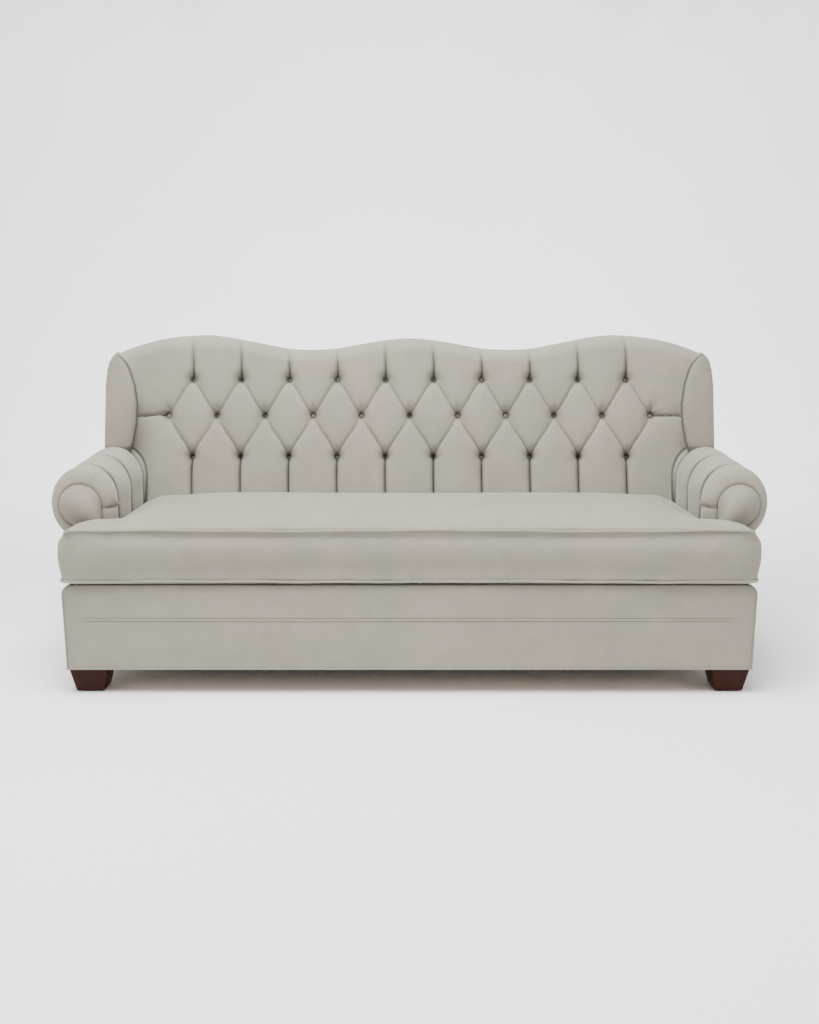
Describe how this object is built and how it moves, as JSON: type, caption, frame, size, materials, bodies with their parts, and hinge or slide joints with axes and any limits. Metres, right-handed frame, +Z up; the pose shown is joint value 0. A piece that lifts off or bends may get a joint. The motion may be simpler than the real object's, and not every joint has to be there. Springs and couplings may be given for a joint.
{
  "type": "sofa bed",
  "caption": "Camel-back sofa bed with rolled arms, wings, buttoned back, bench cushion, tapered feet and a folding bed that opens forward on knee links.",
  "frame": {"origin": "on the floor under the middle of the sofa's box", "axes": "+X to the viewer's right across the sofa, +Y from the seat's front to its back, +Z up"},
  "size_m": [2.2332, 0.924, 1.0639],
  "materials": {
    "fabric": "soft short pile",
    "button_fabric": "soft short pile",
    "lining": "plain decking cloth",
    "foot_wood": "dark red-brown satin lacquer",
    "frame_wood": "raw sawn",
    "glide_plastic": "matt",
    "leg_rubber": "matt",
    "zinc_steel": "zinc plated",
    "link_steel": "satin powder coat",
    "frame_steel": "satin powder coat",
    "deck_cloth": "woven polypropylene",
    "ticking": "mattress ticking"
  },
  "bodies": {
    "sofa": {"front_rail": "frame_wood", "back_rail": "frame_wood", "left_outer_rail": "frame_wood", "right_outer_rail": "frame_wood", "left_inner_rail": "frame_wood", "right_inner_rail": "frame_wood", "bed_slats": "frame_wood", "corner_blocks": "frame_wood", "left_arm_frame": "frame_wood", "right_arm_frame": "frame_wood", "back_frame": "frame_wood", "wing_boards": "frame_wood", "upper_band": "fabric", "lower_band": "fabric", "base_welts": "fabric", "left_side_cover": "fabric", "right_side_cover": "fabric", "base_back_cover": "fabric", "outside_back": "fabric", "seat_deck": "lining", "inside_back": "fabric", "back_buttons": "button_fabric", "left_arm_pad": "fabric", "right_arm_pad": "fabric", "left_arm_panel": "fabric", "right_arm_panel": "fabric", "arm_buttons": "button_fabric", "left_wing_pad": "fabric", "right_wing_pad": "fabric", "left_front_foot": "foot_wood", "right_front_foot": "foot_wood", "left_back_foot": "foot_wood", "right_back_foot": "foot_wood", "foot_bolts": "zinc_steel", "foot_glides": "glide_plastic", "left_mount_rail": "link_steel", "right_mount_rail": "link_steel", "mount_bolts": "zinc_steel"},
    "rear_lower_knees": {"rear_lower_links": "link_steel", "rear_elbow_pins": "zinc_steel"},
    "rear_upper_knees": {"rear_upper_links": "link_steel"},
    "front_lower_knees": {"front_lower_links": "link_steel", "front_elbow_pins": "zinc_steel"},
    "front_upper_knees": {"front_upper_links": "link_steel"},
    "head_section": {"head_frame": "frame_steel", "head_deck": "deck_cloth", "head_mattress": "ticking"},
    "middle_section": {"middle_frame": "frame_steel", "middle_deck": "deck_cloth", "middle_mattress": "ticking"},
    "foot_section": {"foot_frame": "frame_steel", "foot_deck": "deck_cloth", "foot_mattress": "ticking", "pull_handle": "frame_steel"},
    "middle_legs": {"middle_leg": "frame_steel", "middle_leg_glides": "leg_rubber"},
    "foot_legs": {"foot_leg": "frame_steel", "foot_leg_glides": "leg_rubber"},
    "cushion": {"seat_cushion": "fabric", "cushion_welts": "fabric"}
  },
  "joints": [
    {"name": "middle_unfold", "type": "hinge", "parent": "head_section", "child": "middle_section", "pos_m": [0, -0.36504, 0.1816], "axis": [1, 0, 0], "range_deg": [0, 180]},
    {"name": "rear_knee_swing", "type": "hinge", "parent": "sofa", "child": "rear_lower_knees", "pos_m": [0, 0.16296, 0.09972], "axis": [1, 0, 0], "range_deg": [0, 110]},
    {"name": "rear_knee_elbow", "type": "hinge", "parent": "rear_lower_knees", "child": "rear_upper_knees", "pos_m": [0, 0.31316, 0.11286], "axis": [1, 0, 0], "range_deg": [-220, 0]},
    {"name": "bed_level", "type": "hinge", "parent": "rear_upper_knees", "child": "head_section", "pos_m": [0, 0.16296, 0.126], "axis": [1, 0, 0], "range_deg": [0, 110]},
    {"name": "front_knee_swing", "type": "hinge", "parent": "sofa", "child": "front_lower_knees", "pos_m": [0, -0.28704, 0.09972], "axis": [1, 0, 0], "range_deg": [0, 110]},
    {"name": "front_knee_elbow", "type": "hinge", "parent": "front_lower_knees", "child": "front_upper_knees", "pos_m": [0, -0.13684, 0.11286], "axis": [1, 0, 0], "range_deg": [-220, 0]},
    {"name": "foot_unfold", "type": "hinge", "parent": "middle_section", "child": "foot_section", "pos_m": [0, 0.16396, 0.2664], "axis": [1, 0, 0], "range_deg": [-180, 0]},
    {"name": "middle_leg_fold", "type": "hinge", "parent": "middle_section", "child": "middle_legs", "pos_m": [0, 0.12596, 0.2564], "axis": [1, 0, 0], "range_deg": [-90, 0]},
    {"name": "foot_leg_fold", "type": "hinge", "parent": "foot_section", "child": "foot_legs", "pos_m": [0, -0.32704, 0.2764], "axis": [1, 0, 0], "range_deg": [-90, 0]},
    {"name": "cushion_lift", "type": "slide", "parent": "foot_section", "child": "cushion", "axis": [0, 0, 1], "range_m": [0, 0.4]}
  ],
  "couplings": [
    {"joint": "rear_knee_swing", "follows": "middle_unfold", "ratio": 0.61111},
    {"joint": "rear_knee_elbow", "follows": "middle_unfold", "ratio": -1.2222},
    {"joint": "bed_level", "follows": "middle_unfold", "ratio": 0.61111},
    {"joint": "front_knee_swing", "follows": "middle_unfold", "ratio": 0.61111},
    {"joint": "front_knee_elbow", "follows": "middle_unfold", "ratio": -1.2222},
    {"joint": "foot_unfold", "follows": "middle_unfold", "ratio": -1},
    {"joint": "middle_leg_fold", "follows": "middle_unfold", "ratio": -0.5},
    {"joint": "foot_leg_fold", "follows": "middle_unfold", "ratio": -0.5}
  ]
}
